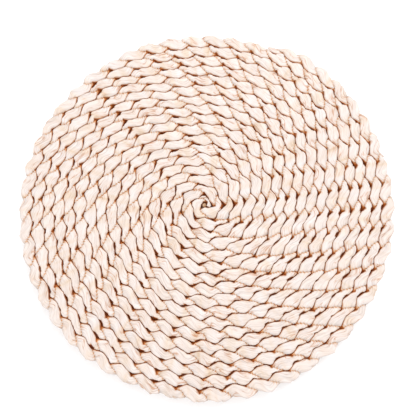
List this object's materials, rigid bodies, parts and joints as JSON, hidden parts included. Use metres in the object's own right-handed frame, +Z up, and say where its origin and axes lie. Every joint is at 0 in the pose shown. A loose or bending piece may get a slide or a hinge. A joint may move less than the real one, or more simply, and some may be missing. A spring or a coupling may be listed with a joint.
{
  "type": "chair seat pad",
  "caption": "Round flat seat pad of bleached corn husk: a three-strand plait stood on edge, wound in a flat spiral and sewn turn to turn.",
  "frame": {"origin": "centre of the underside, on the surface that the pad rests on", "axes": "+Z up through the pad's thickness; +Y towards the rear edge and +X towards the right edge as the pad lies on a chair; seen from above, the plait winds outwards anticlockwise from the middle"},
  "size_m": [0.4026, 0.3968, 0.0201],
  "materials": {
    "corn_husk": "matte dry husk, fine lengthwise ribs",
    "thread": "matte cotton thread",
    "knot_husk": "matte dry husk, darker"
  },
  "bodies": {
    "root": {"strand_a_length_01": "corn_husk", "strand_a_length_02": "corn_husk", "strand_a_length_03": "corn_husk", "strand_a_length_04": "corn_husk", "strand_a_length_05": "corn_husk", "strand_a_length_06": "corn_husk", "strand_a_length_07": "corn_husk", "strand_a_length_08": "corn_husk", "strand_a_length_09": "corn_husk", "strand_a_length_10": "corn_husk", "strand_a_length_11": "corn_husk", "strand_a_length_12": "corn_husk", "strand_a_length_13": "corn_husk", "strand_a_length_14": "corn_husk", "strand_a_length_15": "corn_husk", "strand_a_length_16": "corn_husk", "strand_b_length_01": "corn_husk", "strand_b_length_02": "corn_husk", "strand_b_length_03": "corn_husk", "strand_b_length_04": "corn_husk", "strand_b_length_05": "corn_husk", "strand_b_length_06": "corn_husk", "strand_b_length_07": "corn_husk", "strand_b_length_08": "corn_husk", "strand_b_length_09": "corn_husk", "strand_b_length_10": "corn_husk", "strand_b_length_11": "corn_husk", "strand_b_length_12": "corn_husk", "strand_b_length_13": "corn_husk", "strand_b_length_14": "corn_husk", "strand_b_length_15": "corn_husk", "strand_b_length_16": "corn_husk", "strand_c_length_01": "corn_husk", "strand_c_length_02": "corn_husk", "strand_c_length_03": "corn_husk", "strand_c_length_04": "corn_husk", "strand_c_length_05": "corn_husk", "strand_c_length_06": "corn_husk", "strand_c_length_07": "corn_husk", "strand_c_length_08": "corn_husk", "strand_c_length_09": "corn_husk", "strand_c_length_10": "corn_husk", "strand_c_length_11": "corn_husk", "strand_c_length_12": "corn_husk", "strand_c_length_13": "corn_husk", "strand_c_length_14": "corn_husk", "strand_c_length_15": "corn_husk", "strand_c_length_16": "corn_husk", "sewing_thread": "thread", "knot_core": "corn_husk", "knot_binding": "knot_husk"}
  },
  "joints": []
}
